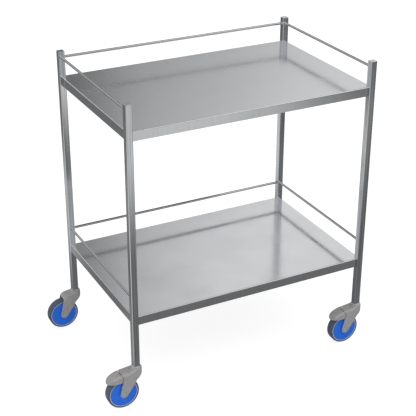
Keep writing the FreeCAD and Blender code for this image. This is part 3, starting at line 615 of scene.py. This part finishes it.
@dataclass
class Studio:
    """White floor and surroundings, soft lamps, and graded greys that only reflections see.

    Ground steel shows little but what it reflects. In the photograph that is a grey floor with
    bright pools on it, and a backdrop that is dark towards the picture's left.
    """

    floor_size: float = 60.0
    floor_colour: str = "#a8a8a8"
    floor_glow: float = 0.79
    floor_bounce: float = 0.3
    sky_level: float = 0.72
    background: float = 1.0
    grey_level: float = 0.2
    pools: tuple[LightPool, ...] = (
        LightPool(centre=(0.4, -2.6, 0.0), core=0.6, edge=1.65, level=0.8),
        LightPool(centre=(-0.2, 1.35, 0.0), core=0.3, edge=0.95, level=0.8),
        LightPool(centre=(-1.7, -0.6, 0.0), core=1.0, edge=1.5, level=1.0),
    )
    # How far a direction leans to the right behind the trolley, and how bright it is there
    backdrop: tuple[tuple[float, float], ...] = (
        (-0.6, 1.0), (-0.25, 0.9), (0.05, 0.25), (0.3, 0.16), (0.364, 0.24), (0.433, 0.54), (0.5, 0.64),
        (0.56, 0.74), (0.635, 0.92), (0.7, 1.0))
    least_depth: float = 0.001
    # How much a direction rises where the backdrop grows brighter, and then dark further up
    low_gain: float = 0.82
    high_gain: float = 1.4
    gain_rise: tuple[float, float] = (0.33, 0.49)
    high_level: float = 0.06
    high_rise: tuple[float, float] = (0.52, 0.66)
    # In front, where a direction turns away from the backdrop, the surroundings are evenly pale
    front_level: float = 0.8
    front_turn: tuple[float, float] = (-0.05, -0.25)
    lamps: tuple[SoftLamp, ...] = (
        SoftLamp(name="key_lamp", place=(-1.6, -2.4, 3.2), size=3.0, power=45.0),
        SoftLamp(name="fill_lamp", place=(1.8, -1.0, 3.4), size=2.4, power=18.0),
    )
    lamp_aim: tuple[float, float, float] = (0.0, 0.0, 0.5)

    def graded_floor(self, tree: bpy.types.NodeTree) -> bpy.types.Node:
        """Adds the floor as gloss sees it: grey, with bright pools on it.

        Args:
            tree: The floor material's node tree.

        Returns:
            The node that shines with the floor's grey.
        """
        place = add(tree, "NewGeometry").outputs["Position"]
        level: Any = self.grey_level
        for pool in self.pools:
            away = add(tree, "VectorMath", {0: place, 1: pool.centre}, operation="DISTANCE").outputs["Value"]
            glow = add(tree, "MapRange", {"Value": away, "From Min": pool.core, "From Max": pool.edge,
                                          "To Min": pool.level, "To Max": self.grey_level},
                       interpolation_type="SMOOTHSTEP")
            level = add(tree, "Math", {0: glow, 1: level}, operation="MAXIMUM")
        return add(tree, "Emission", {"Color": WHITE, "Strength": level})

    def floor_paint(self) -> bpy.types.Material:
        """Builds the floor's matt paint, which gloss sees as a graded grey.

        Returns:
            The new material.
        """
        material, tree = blank_material("pale floor, matt paint")
        rays = add(tree, "LightPath").outputs
        paint = add(tree, "BsdfDiffuse", {"Color": linear(self.floor_colour)})
        strength = add(tree, "MapRange", {"Value": rays["Is Camera Ray"], "To Min": self.floor_bounce,
                                          "To Max": self.floor_glow})
        glow = add(tree, "Emission", {"Color": WHITE, "Strength": strength})
        plain = add(tree, "AddShader", {0: paint, 1: glow})
        floor = add(tree, "MixShader", {0: rays["Is Glossy Ray"], 1: plain, 2: self.graded_floor(tree)})
        add(tree, "OutputMaterial", {"Surface": floor})
        return material

    def floor(self) -> None:
        """Adds the floor, which takes the trolley's shadow."""
        half = self.floor_size / 2
        mesh = bmesh.new()
        outline = ((-half, -half), (half, -half), (half, half), (-half, half))
        mesh.faces.new([mesh.verts.new((x, y, 0.0)) for x, y in outline])
        data = bpy.data.meshes.new("floor")
        mesh.to_mesh(data)
        mesh.free()
        data.materials.append(self.floor_paint())
        floor = bpy.data.objects.new("floor", data)
        bpy.context.scene.collection.objects.link(floor)
        LOG.info("floor added")

    def graded_backdrop(self, tree: bpy.types.NodeTree) -> bpy.types.Node:
        """Adds the surroundings as gloss sees them: pale in front, graded behind from dark to white.

        Args:
            tree: The world's node tree.

        Returns:
            The node that gives the brightness.
        """
        toward = add(tree, "SeparateXYZ", {0: add(tree, "TexCoord").outputs["Generated"]}).outputs
        depth = add(tree, "Math", {0: toward["Y"], 1: self.least_depth}, operation="MAXIMUM")
        slant = add(tree, "Math", {0: toward["X"], 1: depth}, operation="DIVIDE")
        first, last = self.backdrop[0][0], self.backdrop[-1][0]
        along = add(tree, "MapRange", {"Value": slant, "From Min": first, "From Max": last})
        ramp = add(tree, "ValToRGB", {"Fac": along})
        stops = ramp.color_ramp.elements
        stops[0].color = (self.backdrop[0][1],) * 3 + (1.0,)
        stops[-1].color = (self.backdrop[-1][1],) * 3 + (1.0,)
        for place, level in self.backdrop[1:-1]:
            stops.new((place - first) / (last - first)).color = (level,) * 3 + (1.0,)
        gain = add(tree, "MapRange", {"Value": toward["Z"], "From Min": self.gain_rise[0],
                                      "From Max": self.gain_rise[1], "To Min": self.low_gain,
                                      "To Max": self.high_gain})
        side = add(tree, "Math", {0: ramp, 1: gain}, operation="MULTIPLY", use_clamp=True)
        over = add(tree, "MapRange", {"Value": toward["Z"], "From Min": self.high_rise[0],
                                      "From Max": self.high_rise[1], "To Min": 1.0,
                                      "To Max": self.high_level}, interpolation_type="SMOOTHSTEP")
        behind = add(tree, "Math", {0: side, 1: over}, operation="MINIMUM")
        front = add(tree, "MapRange", {"Value": toward["Y"], "From Min": self.front_turn[0],
                                       "From Max": self.front_turn[1]}, interpolation_type="SMOOTHSTEP")
        return add(tree, "MapRange", {"Value": front, "To Min": behind, "To Max": self.front_level})

    def sky(self) -> None:
        """Sets the even light from all round, the white background and what gloss sees."""
        world = bpy.data.worlds.new("studio")
        bpy.context.scene.world = world
        world.use_nodes = True
        tree = world.node_tree
        tree.nodes.clear()
        rays = add(tree, "LightPath").outputs
        direct = add(tree, "Math", {0: rays["Is Camera Ray"], 1: rays["Is Transmission Ray"]},
                     operation="MAXIMUM")
        plain = add(tree, "MapRange", {"Value": direct, "To Min": self.sky_level,
                                       "To Max": self.background})
        strength = add(tree, "Mix", {0: rays["Is Glossy Ray"], 2: plain, 3: self.graded_backdrop(tree)})
        glow = add(tree, "Background", {"Color": WHITE, "Strength": strength})
        add(tree, "OutputWorld", {"Surface": glow})
        LOG.info("sky added")

    def build(self) -> None:
        """Builds the floor, the sky and the lamps."""
        self.floor()
        self.sky()
        for lamp in self.lamps:
            lamp.hang(Vector(self.lamp_aim))


@dataclass
class PhotoCamera:
    """The camera where the photograph was taken from."""

    azimuth_deg: float = -27.367
    elevation_deg: float = 26.29
    roll_deg: float = 0.132
    distance: float = 3.4276
    target: tuple[float, float, float] = (0.0185, 0.0, 0.4541)
    focal_pixels: float = 1088.6
    frame_pixels: float = 416.0
    sensor_mm: float = 36.0
    far_clip: float = 100.0

    def build(self) -> None:
        """Adds the camera and makes it the scene's own."""
        turn, rise, roll = (math.radians(a) for a in (self.azimuth_deg, self.elevation_deg, self.roll_deg))
        back = Vector((math.sin(turn) * math.cos(rise), -math.cos(turn) * math.cos(rise), math.sin(rise)))
        right = Vector((math.cos(turn), math.sin(turn), 0.0))
        up = back.cross(right)
        side = right * math.cos(roll) + up * math.sin(roll)
        top = up * math.cos(roll) - right * math.sin(roll)
        data = bpy.data.cameras.new("photo_camera")
        data.sensor_width = self.sensor_mm
        data.lens = self.sensor_mm * self.focal_pixels / self.frame_pixels
        data.clip_end = self.far_clip
        camera = bpy.data.objects.new("photo_camera", data)
        place = Vector(self.target) + back * self.distance
        camera.matrix_world = Matrix.Translation(place) @ Matrix((side, top, back)).transposed().to_4x4()
        bpy.context.scene.collection.objects.link(camera)
        bpy.context.scene.camera = camera
        LOG.info("photo_camera added")


def main() -> None:
    """Builds the trolley's looks, the studio and the camera."""
    logging.basicConfig(level=logging.INFO, format="%(name)s: %(message)s")
    bpy.context.scene.view_settings.view_transform = "Standard"
    WeldedFrame().build()
    CastorSet().build()
    Studio().build()
    PhotoCamera().build()


if __name__ == "__main__":
    main()
